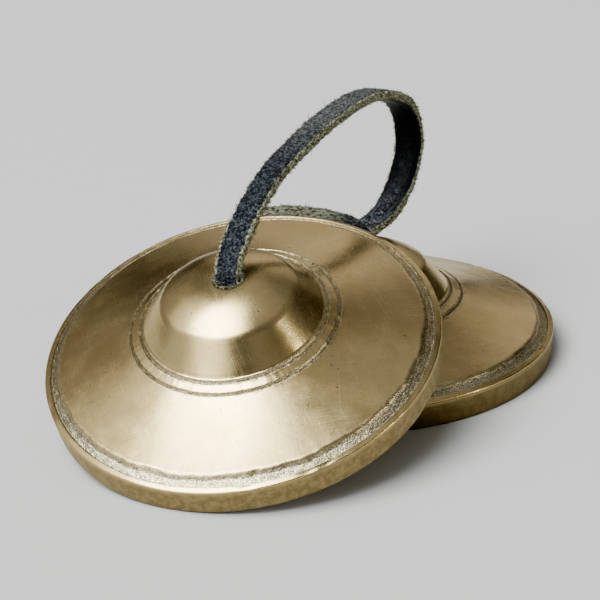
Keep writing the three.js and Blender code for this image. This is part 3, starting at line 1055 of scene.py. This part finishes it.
LAMP_DISTANCE = 1.2
FLOOR = -0.02 * MM             # just under the bells' foot rings
FLOOR_HALF = 2.5


def heading(azimuth, elevation):
    """Unit vector: azimuth is from +Y towards +X, in degrees, as is elevation above the floor."""
    a, e = math.radians(azimuth), math.radians(elevation)
    return Vector((math.sin(a) * math.cos(e), math.cos(a) * math.cos(e), math.sin(e)))


def glow(tree, azimuth, elevation, gone, full, colour, strength):
    """Background shader of one soft patch of light."""
    place = tree.nodes.new("ShaderNodeTexCoord")
    dot = tree.nodes.new("ShaderNodeVectorMath")
    dot.operation = "DOT_PRODUCT"
    dot.inputs[1].default_value = heading(azimuth, elevation)
    tree.links.new(place.outputs["Generated"], dot.inputs[0])
    span = tree.nodes.new("ShaderNodeMapRange")
    span.interpolation_type = "SMOOTHSTEP"
    span.inputs["From Min"].default_value = math.cos(math.radians(gone))
    span.inputs["From Max"].default_value = math.cos(math.radians(full))
    span.inputs["To Max"].default_value = strength
    tree.links.new(dot.outputs["Value"], span.inputs["Value"])
    light = tree.nodes.new("ShaderNodeBackground")
    light.inputs["Color"].default_value = (*colour, 1.0)
    tree.links.new(span.outputs["Result"], light.inputs["Strength"])
    return light.outputs["Background"]


def make_surroundings():
    world = bpy.data.worlds.new("studio")
    bpy.context.scene.world = world
    world.use_nodes = True
    tree = world.node_tree
    base = tree.nodes["Background"]
    base.inputs["Color"].default_value = (*WARM, 1.0)
    base.inputs["Strength"].default_value = AMBIENT
    total = base.outputs["Background"]
    for one in GLOWS:
        both = tree.nodes.new("ShaderNodeAddShader")
        tree.links.new(total, both.inputs[0])
        tree.links.new(glow(tree, *one), both.inputs[1])
        total = both.outputs[0]
    tree.links.new(total, tree.nodes["World Output"].inputs["Surface"])


def soft_box(name, azimuth, elevation, size, power, colour):
    data = bpy.data.lights.new(name, "AREA")
    data.shape = "RECTANGLE"
    data.size, data.size_y = size
    data.energy = power
    data.color = colour
    light = bpy.data.objects.new(name, data)
    light.visible_camera = False
    bpy.context.scene.collection.objects.link(light)
    way = heading(azimuth, elevation)
    turn = way.to_track_quat("Z", "Y").to_matrix().to_4x4()
    light.matrix_world = Matrix.Translation(way * LAMP_DISTANCE) @ turn


def make_studio():
    bpy.context.scene.view_settings.view_transform = "AgX"
    bpy.context.scene.view_settings.look = "AgX - Punchy"
    ways = ((-1, -1), (1, -1), (1, 1), (-1, 1))
    corners = [(x * FLOOR_HALF, y * FLOOR_HALF, FLOOR) for x, y in ways]
    floor = add_mesh("floor", corners, [(0, 1, 2, 3)])
    floor.data.materials.append(floor_material())
    make_surroundings()
    soft_box("key", -127, 57, (0.7, 0.6), 15.0, COOL)
    soft_box("streak", 116, 14, (0.03, 0.5), 4.4, STRAW)    # the thin light on the front boss


# ---- putting it together ----------------------------------------------------

FRONT_CUT = 33 * MM      # the lace is drawn as three stretches, cut where it doesn't bend
REAR_CUT = 107 * MM
KNOT_SEED = SEED + 40

# Each cymbal's body, placement, shift of its hole, how much painted shadow it gets and seed
BELLS = [
    # the rear cymbal gets painted shadow on its side wall and more painted shade in its hollows
    ("rear_cymbal", REAR, NO_SHIFT, 1.0, 11),
    ("front_cymbal", FRONT, FRONT_HOLE_SHIFT, 0.0, 23),
]

# Each knot's body, placement, shift of its hole, the station of the lace where it
# starts, and the sign that turns the lace's own way there into the way down
KNOTS = [
    ("front_knot", FRONT, FRONT_HOLE_SHIFT, 0, -1),
    ("rear_knot", REAR, NO_SHIFT, -1, 1),
]


def finish_piece(piece, material):
    piece.data.materials.append(material)


def make_bells(metal):
    for body, place, shift, in_shadow, seed in BELLS:
        piece = make_cymbal(body + "_bronze", place, shift, in_shadow, seed)
        finish_piece(piece, metal)
        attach(piece, body)
        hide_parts(body)


def make_knots(hide, rng):
    """Both knots; each starts where the lace's end goes into its hole."""
    knots = {}
    for body, place, shift, station, sign in KNOTS:
        end = (LACE.centre[station], LACE.along[station] * sign, LACE.across[station] * sign)
        piece = make_knot(body + "_lace", place, shift, end, KNOT_SEED + station, rng)
        finish_piece(piece, hide)
        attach(piece, body)
        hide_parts(body)
        knots[body] = piece
    return knots


def make_lace(hide, rng):
    skin = lace_skin(SEED)
    fuzz = grow_fibres(LACE, skin, FIBRES_PER_MM, rng)
    cuts = {"lace_front": (0.0, FRONT_CUT), "lace_arch": (FRONT_CUT, REAR_CUT),
            "lace_rear": (REAR_CUT, LACE.length)}
    pieces = {name: strip_mesh(name, LACE, skin, *cut, fuzz) for name, cut in cuts.items()}
    for piece in pieces.values():
        finish_piece(piece, hide)
    return pieces, cuts


def main():
    make_camera()
    rng = np.random.default_rng(SEED)
    hide = leather()
    pieces, cuts = make_lace(hide, rng)
    knots = make_knots(hide, rng)
    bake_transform(pieces["lace_front"], "front_knot", "front_lace",
             start=LACE.at(0.3 * MM), end=LACE.at(7 * MM))
    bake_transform(pieces["lace_arch"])
    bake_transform(pieces["lace_rear"], "rear_knot", "rear_lace",
             start=LACE.at(LACE.length - 0.3 * MM), end=LACE.at(LACE.length - 8 * MM))
    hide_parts("front_lace")
    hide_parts("front_lace", "rear_lace")
    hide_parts("rear_lace")
    make_bells(bronze())
    make_studio()


main()
